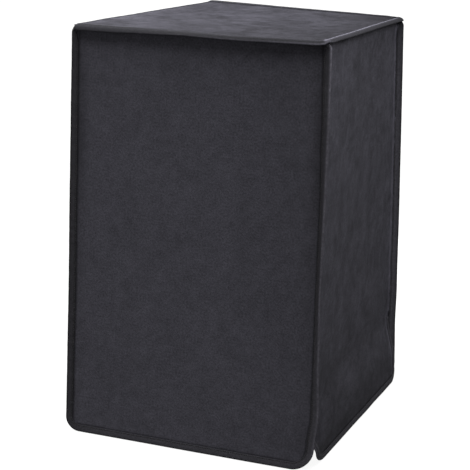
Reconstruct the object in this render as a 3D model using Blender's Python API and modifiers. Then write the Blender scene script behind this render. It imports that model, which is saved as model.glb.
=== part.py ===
"""Dust cover for a tall desktop machine: five cloth panels whose edges are bound with folded tape.

The cover hangs from the underside of its top, which is the origin. The front faces -Y, +Z is up, and all
lengths are metres unless a name or a table heading says millimetres.

Every piece is a sheet: a flat grid whose points are carried onto the hanging shape by a function, and then
given the thickness of the cloth or of the tape by a Solidify modifier.
"""

from collections import namedtuple
from math import asin, cos, pi, radians, sin

import bmesh
import bpy
import numpy as np

MM = 0.001

# Driving dimensions
WIDTH = 0.434  # between the outer faces of the two side panels
DEPTH = 0.540  # from the front panel to the back panel
HEIGHT = 0.750  # from the hem to the top of the walls

CLOTH = 1.0 * MM  # thickness of the panels
TAPE = 1.0 * MM  # thickness of one layer of the binding tape
TAPE_WIDTH = 12.5 * MM  # finished width, a 25 mm tape folded double
GAP = 0.5 * MM  # between a sheet and the tape round it
BUTT = 0.5 * MM  # between a panel's edge and the face that it meets
FLANGE = TAPE_WIDTH + GAP  # how far a bound margin stands out past the wall behind it

FACE_INSET = GAP + CLOTH / 2  # middle of a side panel's cloth, inside its outer face line
EDGE_INSET = CLOTH / 2 + BUTT  # edge of a side panel, from the middle of the cloth that it meets
TAPE_OFFSET = CLOTH / 2 + GAP + TAPE / 2  # middle of a tape's wall, from the middle of the cloth
FOLD_OUT = GAP + TAPE / 2 + 0.1 * MM  # middle of a tape's fold, past the edge of the cloth

FLANGE_TIP_CORNER = 9 * MM  # upper corners of the front and back panels' flanges
BRIM_CORNER = 11 * MM  # corners of the top's brim
FREE_STEP = 3.2 * MM  # how much further the side panels' edges stand back below the seams
SMALLEST_TURN = 1.6 * MM  # radius left at the inner edge of a tape that goes round a tight corner
CREASE_OUT = 2.0 * MM  # where the brim bends off the top, outside the middle of the wall's cloth
TOP_SAG = 0.5 * MM  # how far the middle of the top lies below its edges
HEM_REACH = 150 * MM  # height up to which the middle of a side panel leans out towards its hem
FLAP = 0.7  # the part of that height, from the top of it, over which it leans out

# Where each corner of the cover hangs, in mm outwards from the plain box: at the top, the height there and
# how far its flanges stop short of it, and at the hem, with the hem's height there. The seam ends some way
# above the hem. Below it the corners of the two panels are free: each has its own radius, and the side
# panel's leans out.
Corner = namedtuple(
    "Corner", "x_side y_side top_x top_y lift drop hem_x hem_y rise seam_end bound_corner side_corner splay"
)
CORNERS = {
    "front_left": Corner(-1, -1, 3, 4, -1.3, 6.8, 10, 3, -1, 46, 26, 32, 4),
    "front_right": Corner(1, -1, 7, 0, 1.0, 3, 8, -5, 0, 88, 42, 82, 13),
    "back_right": Corner(1, 1, -17, -5, -2.5, 4, 11, 1, 2.5, 140, 40, 22, 14),
    "back_left": Corner(-1, 1, -12, 7, 2.3, 6, 5, 1, 1, 54, 36, 32, 8),
}

# How each vertical seam wanders: height above the hem and sideways shift, both in mm, and the angle in
# degrees by which its flange turns out of the panel's plane, away from the side panel.
SeamRow = namedtuple("SeamRow", "height shift turn")
SEAMS = {
    "front_left": (
        SeamRow(0, 0, 0), SeamRow(110, -1, 4), SeamRow(300, -2, 10), SeamRow(520, -1, 8), SeamRow(750, 0, 0),
    ),
    "front_right": (
        SeamRow(0, -2, 0), SeamRow(50, 3, 0), SeamRow(100, 8, 6), SeamRow(200, 8, 32), SeamRow(330, 7, 42),
        SeamRow(480, 7, 39), SeamRow(600, 4, 21), SeamRow(705, 1, 2), SeamRow(750, 0, 0),
    ),
    "back_right": (
        SeamRow(0, 0, 0), SeamRow(60, -2, 2), SeamRow(120, -3, 12), SeamRow(200, -1, 22),
        SeamRow(400, 0, 20), SeamRow(620, 0, 14), SeamRow(750, 0, 6),
    ),
    "back_left": (
        SeamRow(0, 0, 0), SeamRow(60, -2, 0), SeamRow(260, 1, 12), SeamRow(500, -1, 20), SeamRow(750, 0, 5),
    ),
}

# How far each side of the brim tilts up from level, in degrees, at its left and right ends as seen from
# outside the cover, facing that side.
BRIM_TILT = {"front": (6, -18), "right": (3, -10), "back": (2, 12), "left": (-25, -30)}

# Broad folds and hollows of each panel. Place: across from -1 at the left edge to 1 at the right, and up from
# 0 at the hem to 1 at the top. Size: half lengths across and up in mm, height outwards in mm, and lean in
# degrees.
Fold = namedtuple("Fold", "across up half_across half_up out lean")
FOLDS = {
    "front": (
        Fold(-0.45, 0.70, 90, 170, 1.6, 12), Fold(0.40, 0.45, 70, 210, -1.8, -8),
        Fold(-0.20, 0.22, 120, 90, 1.4, 30), Fold(0.72, 0.80, 45, 120, -1.6, 5),
        Fold(0.62, 0.12, 60, 80, 1.5, -20), Fold(-0.80, 0.35, 40, 160, -1.2, 4),
    ),
    "right": (
        Fold(-0.55, 0.80, 60, 120, 2.2, 14), Fold(0.15, 0.62, 80, 220, -3.0, 8),
        Fold(0.75, 0.70, 50, 180, 2.0, -4), Fold(-0.30, 0.28, 90, 110, -2.0, -18),
        Fold(0.45, 0.20, 90, 90, 1.8, 24),
    ),
    "back": (
        Fold(-0.40, 0.60, 100, 200, 2.0, -10), Fold(0.45, 0.35, 80, 160, -2.4, 14),
        Fold(0.10, 0.85, 120, 80, -1.6, 0),
    ),
    "left": (
        Fold(-0.35, 0.70, 80, 180, -2.4, 10), Fold(0.40, 0.50, 70, 200, 2.0, -12),
        Fold(0.00, 0.18, 140, 80, -1.8, 8),
    ),
}
TOP_FOLDS = (
    Fold(-0.45, 0.45, 70, 130, -1.2, 20), Fold(0.50, 0.62, 60, 140, -1.4, -15),
    Fold(0.20, 0.03, 110, 60, -1.6, 6), Fold(-0.30, 0.86, 90, 50, 1.0, -8),
)

# How far each wall's middle stands out, and how far its upper strip leans out to meet the top, both in mm.
Wall = namedtuple("Wall", "left right bound belly tuck")
WALLS = {
    "front": Wall("front_left", "front_right", True, 2.0, 2.5),
    "right": Wall("front_right", "back_right", False, -2.5, 1.5),
    "back": Wall("back_right", "back_left", True, 2.0, 2.0),
    "left": Wall("back_left", "front_left", False, -2.0, 1.5),
}
TUCK_HEIGHT = 40 * MM  # depth of that upper strip

# Grid lines that every sheet along an edge shares, so that facets of neighbouring sheets lie side by side
ROW_HEIGHTS = MM * np.array([
    0, 2.5, 7, 13, 21, 31, 42, 53, 66, 80, 97, 116, 138, 162, 190, 225, 270, 325, 380, 435, 485, 525, 560,
    592, 622, 652, 680, 706, 726, 739, 746.5, 749.3, 750,
])
BOUND_MARGIN = np.array([FLANGE, FLANGE / 2, 0, -14 * MM, -36 * MM])  # grid lines from a bound edge inwards
SEWN_MARGIN = np.array([-EDGE_INSET, -13 * MM, -32 * MM])  # and from the edge of a side panel
WALL_COLUMNS = 7  # grid spaces between those at the left and those at the right
TOP_PARTS = np.array([  # grid lines across the top
    0, 0.03, 0.08, 0.16, 0.27, 0.385, 0.5, 0.615, 0.73, 0.84, 0.92, 0.97, 1,
])
BRIM_STEPS = np.array([0, 1.5 * MM, 5.5 * MM, FLANGE])  # grid lines in the brim, from its tip inwards
CLOSING = 1.6  # the stretch whose grid lines close up round a corner, as a multiple of its radius

# Colour and roughness of each cloth
Look = namedtuple("Look", "colour roughness")
CLOTH_LOOK = Look((0.0345, 0.0335, 0.040, 1.0), 0.85)
TAPE_LOOK = Look((0.028, 0.027, 0.0325, 1.0), 0.75)

NAME = "printer_cover"


def ease(part):
    """Smooth rise from 0 to 1 as part goes from 0 to 1, flat at both ends."""
    part = np.clip(part, 0, 1)
    return part * part * (3 - 2 * part)


def between(rows, column, height):
    """Value of one column of a table at these heights, eased from each row to the next."""
    heights = np.array([row.height for row in rows]) * MM
    values = np.array([getattr(row, column) for row in rows], float)
    below = np.clip(np.searchsorted(heights, height, side="right") - 1, 0, len(rows) - 2)
    part = ease((height - heights[below]) / (heights[below + 1] - heights[below]))
    return values[below] + (values[below + 1] - values[below]) * part


def arc_inset(radius, height):
    """How far a rounded corner's edge stands in from its tangent at this distance from the other tangent."""
    rise = np.clip(radius - height, 0, radius)
    return radius - np.sqrt(np.maximum(radius**2 - rise**2, 0))


def seam_line(name, height):
    """Plan position of a vertical seam at these heights above the hem."""
    corner = CORNERS[name]
    part = height / HEIGHT
    out_x = corner.hem_x + (corner.top_x - corner.hem_x) * part + between(SEAMS[name], "shift", height)
    out_y = corner.hem_y + (corner.top_y - corner.hem_y) * part
    x = corner.x_side * (WIDTH / 2 + out_x * MM)
    y = corner.y_side * (DEPTH / 2 + out_y * MM)
    return np.stack([x, y + 0 * x], axis=-1)


def top_height(plan):
    """Middle of the top's cloth over these plan positions: the corners' lifts, and a sag to the origin."""
    u = np.clip(plan[..., 0] / (WIDTH / 2), -1, 1)
    v = np.clip(plan[..., 1] / (DEPTH / 2), -1, 1)
    lift = sum(c.lift * (1 + c.x_side * u) * (1 + c.y_side * v) / 4 for c in CORNERS.values())
    middle = sum(c.lift for c in CORNERS.values()) / 4
    rise = TOP_SAG * (1 - (1 - u**2) * (1 - v**2))
    return CLOTH / 2 + (lift - middle) * MM + rise + folds(TOP_FOLDS, u, (v + 1) / 2, WIDTH, DEPTH)


def folds(rows, across, up, width, height):
    """Sum of the folds in a table, each a smooth mound, all fading out at the left and right edges."""
    total = 0 * across
    for fold in rows:
        aside = (across - fold.across) * width / 2
        above = (up - fold.up) * height
        lean = radians(fold.lean)
        along = (above * cos(lean) + aside * sin(lean)) / (fold.half_up * MM)
        over = (aside * cos(lean) - above * sin(lean)) / (fold.half_across * MM)
        total = total + fold.out * MM * np.exp(-(along**2) - over**2)
    return total * (1 - across**4)


def wall_point(side, across, height):
    """Middle of a wall's cloth. Across is the distance from the wall's middle line, to the right as seen from
    outside; past the seams it runs on over the flange, which turns out of the wall by the seam's angle."""
    wall = WALLS[side]
    left, right = seam_line(wall.left, height), seam_line(wall.right, height)
    span = right - left
    length = np.linalg.norm(span, axis=-1, keepdims=True)
    along = span / length
    outward = np.stack([along[..., 1], -along[..., 0]], axis=-1)
    half = length[..., 0] / 2
    inner = np.clip(across, -half, half)
    part = inner / half
    up = height / HEIGHT

    out = folds(FOLDS[side], part, up, WIDTH if wall.bound else DEPTH, HEIGHT)
    out = out + wall.belly * MM * (1 - part**2) * np.sin(pi * np.clip(up, 0, 1)) ** 2
    out = out + wall.tuck * MM * (1 - part**8) * ease(1 - (HEIGHT - height) / TUCK_HEIGHT)
    first, last = CORNERS[wall.left], CORNERS[wall.right]
    along_hem = (part + 1) / 2
    rise = (first.rise + (last.rise - first.rise) * along_hem) * MM
    if not wall.bound:
        seam_end = (first.seam_end + (last.seam_end - first.seam_end) * along_hem) * MM
        reach = seam_end + (HEM_REACH - seam_end) * (1 - part**4)
        splay = (first.splay + (last.splay - first.splay) * along_hem) * MM
        out = out - FACE_INSET + splay * ease((1 - height / reach) / FLAP)

    plan = (left + right) / 2 + along * inner[..., None] + outward * out[..., None]
    top = top_height(plan) - EDGE_INSET
    if wall.bound:
        beyond = np.abs(across) - half
        turn = np.where(
            across < 0,
            between(SEAMS[wall.left], "turn", height),
            between(SEAMS[wall.right], "turn", height),
        )
        turn = np.radians(turn)[..., None]
        away = np.sign(across)[..., None] * along * np.cos(turn) + outward * np.sin(turn)
        plan = plan + away * np.maximum(beyond, 0)[..., None]
        drop = np.where(across < 0, first.drop, last.drop)
        top = top - drop * MM * ease(1 + beyond / (20 * MM))
    z = rise - HEIGHT + (top + HEIGHT - rise) * up
    return np.concatenate([plan, z[..., None]], axis=-1)


def half_span(side, height):
    """Half the distance between a wall's two seams at these heights."""
    wall = WALLS[side]
    return np.linalg.norm(seam_line(wall.right, height) - seam_line(wall.left, height), axis=-1) / 2


def corner_of(side, end, height):
    """Radius of a wall's rounded corner and how far it lies above or below this height, at one edge (end is
    -1 for the left edge, 1 for the right). The upper corners of a side panel are square."""
    wall = WALLS[side]
    corner = CORNERS[wall.left if end < 0 else wall.right]
    if not wall.bound:
        return corner.side_corner * MM, height
    return (corner.bound_corner * MM, height) if height < HEIGHT / 2 else (FLANGE_TIP_CORNER, HEIGHT - height)


def wall_edge(side, end, height):
    """Distance from a wall's middle line to its left or right edge at this height."""
    wall = WALLS[side]
    margin = FLANGE
    if not wall.bound:
        seam_end = CORNERS[wall.left if end < 0 else wall.right].seam_end * MM
        margin = -EDGE_INSET - FREE_STEP * ease(1 - (height - seam_end) / (12 * MM))
    return half_span(side, height) + margin - arc_inset(*corner_of(side, end, height))


def wall_columns(side, height):
    """Grid lines of a wall at one height. Towards an edge they close up where a corner is rounded off."""
    margin = half_span(side, height) + (BOUND_MARGIN if WALLS[side].bound else SEWN_MARGIN)
    inner = np.linspace(-margin[-1], margin[-1], WALL_COLUMNS + 1)[1:-1]
    lines = np.concatenate([-margin, inner, margin[::-1]])
    for end in (-1, 1):
        closing = CLOSING * corner_of(side, end, height)[0]
        start = margin[0] - closing
        reach = lines * end - start
        closed = end * (start + reach * (wall_edge(side, end, height) - start) / closing)
        lines = np.where(reach > 0, closed, lines)
    return lines


def wall_grid(side):
    """Points of a wall's cloth: a row for each height, a column for each line across."""
    return np.array([
        wall_point(side, wall_columns(side, height), np.full(1, height)) for height in ROW_HEIGHTS
    ])


def top_line(side, part):
    """Plan position where the brim bends up, over the outer face of a wall, at parts of its length."""
    wall = WALLS[side]
    height = np.full(np.shape(part), HEIGHT)
    left, right = seam_line(wall.left, height), seam_line(wall.right, height)
    half = np.linalg.norm(right - left, axis=-1) / 2
    plan = wall_point(side, half * (2 * np.asarray(part) - 1), height)[..., :2]
    along = (right - left) / (2 * half[..., None])
    return plan + np.stack([along[..., 1], -along[..., 0]], axis=-1) * CREASE_OUT


def top_point(over_x, over_y):
    """Middle of the top's cloth. Each coordinate is a part of the way across, from 0 to 1, between the walls;
    less than 0 or more than 1 it counts metres out along the brim, which tilts up."""
    q, r = np.clip(over_x, 0, 1), np.clip(over_y, 0, 1)
    left, right = top_line("left", 1 - r)[..., 0], top_line("right", r)[..., 0]
    front, back = top_line("front", q)[..., 1], top_line("back", 1 - q)[..., 1]
    plan = np.stack([left + (right - left) * q, front + (back - front) * r], axis=-1)
    z = top_height(plan)
    out = {
        "left": (np.maximum(-over_x, 0), -1, 0, 1 - r), "right": (np.maximum(over_x - 1, 0), 1, 0, r),
        "front": (np.maximum(-over_y, 0), 0, -1, q), "back": (np.maximum(over_y - 1, 0), 0, 1, 1 - q),
    }
    for side, (beyond, x, y, part) in out.items():
        first, last = BRIM_TILT[side]
        tilt = np.radians(first + (last - first) * part)
        plan = plan + (beyond * np.cos(tilt))[..., None] * np.array([x, y])
        z = z + beyond * np.sin(tilt)
    return np.concatenate([plan, z[..., None]], axis=-1)


def brim_lines(closed_by=0.0):
    """Grid lines across the top, brim to brim: metres out along the brim at the ends, parts of the way
    between the walls in the middle. Closed_by is how far a rounded corner draws the brim's tip in."""
    beyond = (FLANGE - BRIM_STEPS) * (FLANGE - closed_by) / FLANGE
    return np.concatenate([-beyond, TOP_PARTS[1:-1], 1 + beyond[::-1]])


def top_grid():
    """Points of the top's cloth: rows from front to back, columns from left to right."""
    grid = []
    for over_y in brim_lines():
        beyond = max(-over_y, over_y - 1, 0)
        over_x = brim_lines(arc_inset(BRIM_CORNER, FLANGE - beyond))
        grid.append(top_point(over_x, np.full(over_x.shape, over_y)))
    return np.array(grid)


def tape_round(edges, point):
    """Points of a tape folded over an edge: a row for each place along the edge, and columns from one inner
    edge, round the fold, to the other. Each place gives its position on the sheet, the way inwards and how
    wide the tape is there; point turns a position on the sheet into one in space."""
    step = 0.5 * MM
    rows = []
    for (a, b), (in_a, in_b), width in edges:
        row = []
        for inward, aside in (
            (width, 1), (width / 2, 1), (0.2 * MM, 1), (-FOLD_OUT, 0.5),
            (-FOLD_OUT, -0.5), (0.2 * MM, -1), (width / 2, -1), (width, -1),
        ):
            start = max(inward - step, 0.0)
            here = point(a + in_a * start, b + in_b * start)
            further = point(a + in_a * (start + step), b + in_b * (start + step))
            beside = point(a + in_a * start - in_b * step, b + in_b * start + in_a * step)
            into = (further - here) / np.linalg.norm(further - here)
            normal = np.cross(into, beside - here)
            normal /= np.linalg.norm(normal)
            row.append(here + into * (inward - start) + normal * TAPE_OFFSET * aside)
        rows.append(row)
    return np.array(rows)


def wall_tape_grid(side):
    """Points of the tape round a wall's bound edge, from its upper left end down, along the hem and up."""
    wall = WALLS[side]
    arms = []
    for end in (-1, 1):
        corner = CORNERS[wall.left if end < 0 else wall.right]
        highest = HEIGHT - 0.6 * MM if wall.bound else (corner.seam_end - 12) * MM
        arm = []
        for height in ROW_HEIGHTS[1:]:
            if height > highest:
                break
            radius, off = corner_of(side, end, height)
            angle = asin(max(1 - off / radius, 0.0))
            upper = wall.bound and off != height
            width = FLANGE_TIP_CORNER - SMALLEST_TURN if upper and angle > 0 else TAPE_WIDTH
            inward = (-end * cos(angle), sin(angle) * (-1 if upper else 1))
            arm.append(((end * wall_edge(side, end, height), height), inward, width))
        arms.append(arm)
    hem = [((across, 0.0), (0.0, 1.0), TAPE_WIDTH) for across in wall_columns(side, 0.0)]

    def point(across, height):
        return wall_point(side, np.full(1, across), np.full(1, height))[0]

    return tape_round(arms[0][::-1] + hem + arms[1], point)


def top_tape_grid():
    """Points of the ring of tape round the brim. Each side is laid out as the front, with the rounded corner
    at its right-hand end, and turned into place by quarter turns."""
    narrow = BRIM_CORNER - SMALLEST_TURN
    start = FLANGE - BRIM_CORNER
    edges = []
    for quarter in range(4):
        side = [((part, -FLANGE), (0.0, 1.0), TAPE_WIDTH) for part in TOP_PARTS]
        side = [((-start, -FLANGE), (0.0, 1.0), narrow), *side, ((1 + start, -FLANGE), (0.0, 1.0), narrow)]
        for step in BRIM_STEPS[1:-1]:
            out = FLANGE - arc_inset(BRIM_CORNER, step)
            up = FLANGE - step
            inward = ((start - out) / BRIM_CORNER, (up - start) / BRIM_CORNER)
            side.append(((1 + out, -up), inward, narrow))
        for (a, b), (in_a, in_b), width in side:
            for _ in range(quarter):
                a, b, in_a, in_b = 1 - b, a, -in_b, in_a
            edges.append(((a, b), (in_a, in_b), width))
    edges.append(edges[0])

    def point(over_x, over_y):
        return top_point(np.full(1, over_x), np.full(1, over_y))[0]

    return tape_round(edges, point)


def new_material(name, look):
    """Plain coloured material of one piece."""
    material = bpy.data.materials.new(name)
    material.use_nodes = True
    shader = material.node_tree.nodes["Principled BSDF"]
    shader.inputs["Base Color"].default_value = look.colour
    shader.inputs["Roughness"].default_value = look.roughness
    shader.inputs["Metallic"].default_value = 0.0
    material.diffuse_color = look.colour
    return material


def new_sheet(name, points, thickness, look, parent, collection, ring=False):
    """One piece: a flat grid, its points carried to their places, thickened on both sides. A ring's first and
    last rows are the same points, which are joined."""
    rows, columns = points.shape[:2]
    mesh = bpy.data.meshes.new(name)
    bm = bmesh.new()
    bmesh.ops.create_grid(bm, x_segments=columns - 1, y_segments=rows - 1, size=1.0)
    for vert in bm.verts:
        column = round((vert.co.x + 1) / 2 * (columns - 1))
        row = round((vert.co.y + 1) / 2 * (rows - 1))
        vert.co = points[row, column]
    if ring:
        bmesh.ops.remove_doubles(bm, verts=bm.verts, dist=0.01 * MM)
    bm.to_mesh(mesh)
    bm.free()
    mesh.shade_smooth()
    mesh.set_sharp_from_angle(angle=radians(50))
    mesh.materials.append(new_material(name, look))

    sheet = bpy.data.objects.new(name, mesh)
    sheet.parent = parent
    collection.objects.link(sheet)
    solidify = sheet.modifiers.new("thickness", "SOLIDIFY")
    solidify.thickness = thickness
    solidify.offset = 0.0
    solidify.use_even_offset = True
    return sheet


def build():
    """Clears the file and makes every piece of the cover."""
    for old in list(bpy.data.objects):
        bpy.data.objects.remove(old, do_unlink=True)
    collection = bpy.data.collections.new(NAME)
    bpy.context.scene.collection.children.link(collection)
    under_top = bpy.data.objects.new("under_top", None)
    under_top.empty_display_size = 0.05
    collection.objects.link(under_top)

    for side, wall in WALLS.items():
        tape_name = f"{side}_binding" if wall.bound else f"{side}_hem_binding"
        new_sheet(f"{side}_panel", wall_grid(side), CLOTH, CLOTH_LOOK, under_top, collection)
        new_sheet(tape_name, wall_tape_grid(side), TAPE, TAPE_LOOK, under_top, collection)
    new_sheet("top_panel", top_grid(), CLOTH, CLOTH_LOOK, under_top, collection)
    new_sheet("top_binding", top_tape_grid(), TAPE, TAPE_LOOK, under_top, collection, ring=True)


build()
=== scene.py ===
"""A fitted printer cover of charcoal cloth, its seams bound with folded tape, as it hangs over a machine.

The front faces -Y and +Z is up. The origin is under the middle of the top. Lengths are metres, and the tables
hold millimetres and degrees.
"""

from collections import namedtuple
from functools import partial
from math import cos, pi, radians, sin

import bpy
import numpy as np
from mathutils import Matrix, Vector


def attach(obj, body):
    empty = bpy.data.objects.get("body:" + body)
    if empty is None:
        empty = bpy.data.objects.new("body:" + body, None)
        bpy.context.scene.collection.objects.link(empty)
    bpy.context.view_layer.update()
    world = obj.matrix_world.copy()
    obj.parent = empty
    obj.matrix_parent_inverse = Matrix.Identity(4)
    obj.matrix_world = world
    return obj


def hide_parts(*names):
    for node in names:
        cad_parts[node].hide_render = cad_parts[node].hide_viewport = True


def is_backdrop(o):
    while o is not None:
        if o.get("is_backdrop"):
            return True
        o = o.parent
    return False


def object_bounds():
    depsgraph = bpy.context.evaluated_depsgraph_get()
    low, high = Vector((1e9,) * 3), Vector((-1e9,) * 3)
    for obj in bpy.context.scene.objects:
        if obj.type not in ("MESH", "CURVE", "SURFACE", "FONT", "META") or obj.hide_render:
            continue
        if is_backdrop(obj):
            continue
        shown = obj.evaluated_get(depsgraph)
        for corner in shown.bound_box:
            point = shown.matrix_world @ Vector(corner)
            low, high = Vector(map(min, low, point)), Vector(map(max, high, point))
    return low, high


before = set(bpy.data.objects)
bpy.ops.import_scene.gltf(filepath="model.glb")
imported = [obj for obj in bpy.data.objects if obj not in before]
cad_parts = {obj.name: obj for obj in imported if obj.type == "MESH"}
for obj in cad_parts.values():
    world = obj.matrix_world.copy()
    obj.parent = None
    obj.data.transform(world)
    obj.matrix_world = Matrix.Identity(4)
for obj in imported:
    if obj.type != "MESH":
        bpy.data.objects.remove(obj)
cad_low, cad_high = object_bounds()
MM = 0.001


# ---- Studio --------------------------------------------------------------------------------------------
# A pale seamless floor just under the hem, a wide soft light overhead and in front, weak soft boxes round the
# cover, and an even white surround. The camera stands to the right of the front, a little above.
FLOOR_HALF_SIZE = 200
FLOOR_GAP = 0.5 * MM
FLOOR_COLOUR = (0.10, 0.10, 0.10, 1.0)
FLOOR_GLOW = (0.92, 0.92, 0.92, 1.0)
SURROUND_COLOUR = (1.0, 1.0, 1.0, 1.0)
SURROUND_STRENGTH = 0.30
CAMERA_AT = Vector((0.936, -2.486, 0.2475))
CAMERA_AZIMUTH = radians(21.1)
CAMERA_ELEVATION = radians(13.9)
CAMERA_ROLL = radians(2.08)
CAMERA_LENS = 109.15
CAMERA_SHIFT = 0.000425532

floor_mesh = bpy.data.meshes.new("floor")
floor_corners = [
    (x * FLOOR_HALF_SIZE, y * FLOOR_HALF_SIZE, cad_low.z - FLOOR_GAP)
    for x, y in ((-1, -1), (1, -1), (1, 1), (-1, 1))
]
floor_mesh.from_pydata(floor_corners, [], [(0, 1, 2, 3)])
floor = bpy.data.objects.new("floor", floor_mesh)
bpy.context.scene.collection.objects.link(floor)
floor_finish = bpy.data.materials.new("floor_finish")
floor_finish.use_nodes = True
floor_shader = floor_finish.node_tree.nodes["Principled BSDF"]
floor_shader.inputs["Base Color"].default_value = FLOOR_COLOUR
floor_shader.inputs["Roughness"].default_value = 0.9
floor_shader.inputs["Specular IOR Level"].default_value = 0.1
floor_shader.inputs["Emission Color"].default_value = FLOOR_GLOW
floor_shader.inputs["Emission Strength"].default_value = 1.0
floor_mesh.materials.append(floor_finish)
floor.visible_diffuse = False
floor.visible_glossy = False
floor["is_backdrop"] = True

world = bpy.data.worlds.new("surround")
world.use_nodes = True
world.node_tree.nodes["Background"].inputs["Color"].default_value = SURROUND_COLOUR
world.node_tree.nodes["Background"].inputs["Strength"].default_value = SURROUND_STRENGTH
bpy.context.scene.world = world
bpy.context.scene.view_settings.view_transform = "Standard"


def new_light(name, kind, place, aim, power, **settings):
    """A light of this kind at a place, facing a point."""
    data = bpy.data.lights.new(name, kind)
    data.energy = power
    for key, value in settings.items():
        setattr(data, key, value)
    light = bpy.data.objects.new(name, data)
    light.location = place
    light.rotation_mode = "QUATERNION"
    light.rotation_quaternion = (Vector(aim) - Vector(place)).to_track_quat("-Z", "Y")
    bpy.context.scene.collection.objects.link(light)


new_light("overhead", "SUN", (0.0, -0.40, 1.0), (0, 0, 0), 5.1, angle=radians(45))
new_light("front_left", "AREA", (-0.75, -1.25, 0.05), (-0.15, -0.29, -0.1), 2.2, size=0.5)
new_light("behind", "AREA", (-0.35, 1.5, -0.36), (0, 0.3, -0.36), 9.0, size=0.6)
new_light("far_left", "AREA", (-1.4, 0.45, -0.36), (-0.25, 0.05, -0.36), 7.0, size=0.6)
new_light("over_left", "AREA", (-0.5, 0.0, 0.45), (-0.1, 0, 0), 3.0, size=0.4)
new_light("near_right", "AREA", (0.9, -0.25, 0.5), (0.22, -0.1, -0.2), 8.0, size=0.4)

camera_data = bpy.data.cameras.new("camera")
camera_data.lens = CAMERA_LENS
camera_data.shift_x = CAMERA_SHIFT
camera = bpy.data.objects.new("camera", camera_data)
sight = Vector((
    -sin(CAMERA_AZIMUTH) * cos(CAMERA_ELEVATION),
    cos(CAMERA_AZIMUTH) * cos(CAMERA_ELEVATION),
    -sin(CAMERA_ELEVATION),
))
level = Vector((cos(CAMERA_AZIMUTH), sin(CAMERA_AZIMUTH), 0))
rightward = level * cos(CAMERA_ROLL) + level.cross(sight) * sin(CAMERA_ROLL)
turned = Matrix((rightward, rightward.cross(sight), -sight)).transposed()
camera.matrix_world = Matrix.Translation(CAMERA_AT) @ turned.to_4x4()
bpy.context.scene.collection.objects.link(camera)
bpy.context.scene.camera = camera


# ---- Front and back panels -----------------------------------------------------------------------------
# Two tall rectangles of charcoal woven cloth with rounded corners. They are sewn to the side panels a tape's
# width inside their edges, so that their margins stand out past the sides as flanges.
WIDTH, DEPTH, HEIGHT = 0.434, 0.540, 0.750
CLOTH = 0.8 * MM
CLOTH_COLOUR = (0.0342, 0.0332, 0.0412)
THREAD = 0.55 * MM
TAPE_WIDTH = 12.5 * MM
FLANGE = TAPE_WIDTH + 0.5 * MM
FLANGE_TIP_CORNER = 9 * MM
FLANGE_DROP_RUN = 5 * MM  # the flange's drop sets in this far inside its seam
UNDER_TOP = 0.9 * MM  # from the middle of the top's cloth down to the walls' upper edges
TUCK_HEIGHT = 40 * MM  # below the top, where a wall starts to lean out to it
TOP_SAG = 0.5 * MM
SIDE_INSET = 1.0 * MM  # from a side's seams in to its cloth
FLARE_HEIGHT = 150 * MM  # above the hem, where the middle of a side starts to swing out
FLARE_SHARE = 0.7  # part of that height in which it swings out fully
LATTICE = 64  # cells after which the grain repeats
CORNER_CLOSING = 1.6  # grid lines draw in round a corner within this many radii of the edge
WALL_ROWS, PANEL_COLUMNS = 190, 112
FLANGE_LINES = (13.0, 10, 7, 4, 1.5, 0.0)  # grid lines across a flange, from its edge to its seam

# The four vertical seams. x_side and y_side say which corner it is. top_x, top_y, hem_x and hem_y are how far
# the seam stands out from the box at the top and at the hem, lift is the height of the top there, and drop
# how far the flange's upper end hangs below it. rise is the height of the hem, seam_end the height where the
# sewing ends, bound_corner and side_corner the radii of the two panels' lower corners, and splay how far the
# side panel swings out there.
Corner = namedtuple(
    "Corner", "x_side y_side top_x top_y lift drop hem_x hem_y rise seam_end bound_corner side_corner splay"
)
CORNERS = {
    "front_left": Corner(-1, -1, 3, 4, -1.3, 4.5, 10, 3, -1, 46, 26, 32, 4),
    "front_right": Corner(1, -1, 7, 0, 1.0, 3, 8, -5, -0.4, 66, 36, 72, 16.5),
    "back_right": Corner(1, 1, -17, -5, -2.5, 4, 11, 1, 2.5, 140, 40, 22, 14),
    "back_left": Corner(-1, 1, -12, 7, 2.3, 5, 5, 1, 1, 54, 36, 32, 8),
}

# Each seam at heights above the hem: its shift outwards along X, and its flange's turn out of the panel.
SeamRow = namedtuple("SeamRow", "height shift turn")
SEAMS = {
    "front_left": (
        SeamRow(0, 0, 0), SeamRow(110, -1, 4), SeamRow(300, -2, 10), SeamRow(520, -1, 8),
        SeamRow(750, 0, 0),
    ),
    "front_right": (
        SeamRow(0, -3.5, 0), SeamRow(50, 2.5, 0), SeamRow(100, 8, 6), SeamRow(200, 8, 32),
        SeamRow(330, 7, 42), SeamRow(480, 7, 39), SeamRow(600, 4, 21), SeamRow(705, 1, 2),
        SeamRow(750, 0, 0),
    ),
    "back_right": (
        SeamRow(0, 0, 0), SeamRow(60, -2, 2), SeamRow(120, -3, 12), SeamRow(200, -1, 22),
        SeamRow(400, 0, 20), SeamRow(620, 0, 14), SeamRow(750, 0, 6),
    ),
    "back_left": (
        SeamRow(0, 0, 0), SeamRow(60, -2, 0), SeamRow(260, 1, 12), SeamRow(500, -1, 20),
        SeamRow(750, 0, 5),
    ),
}

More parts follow.
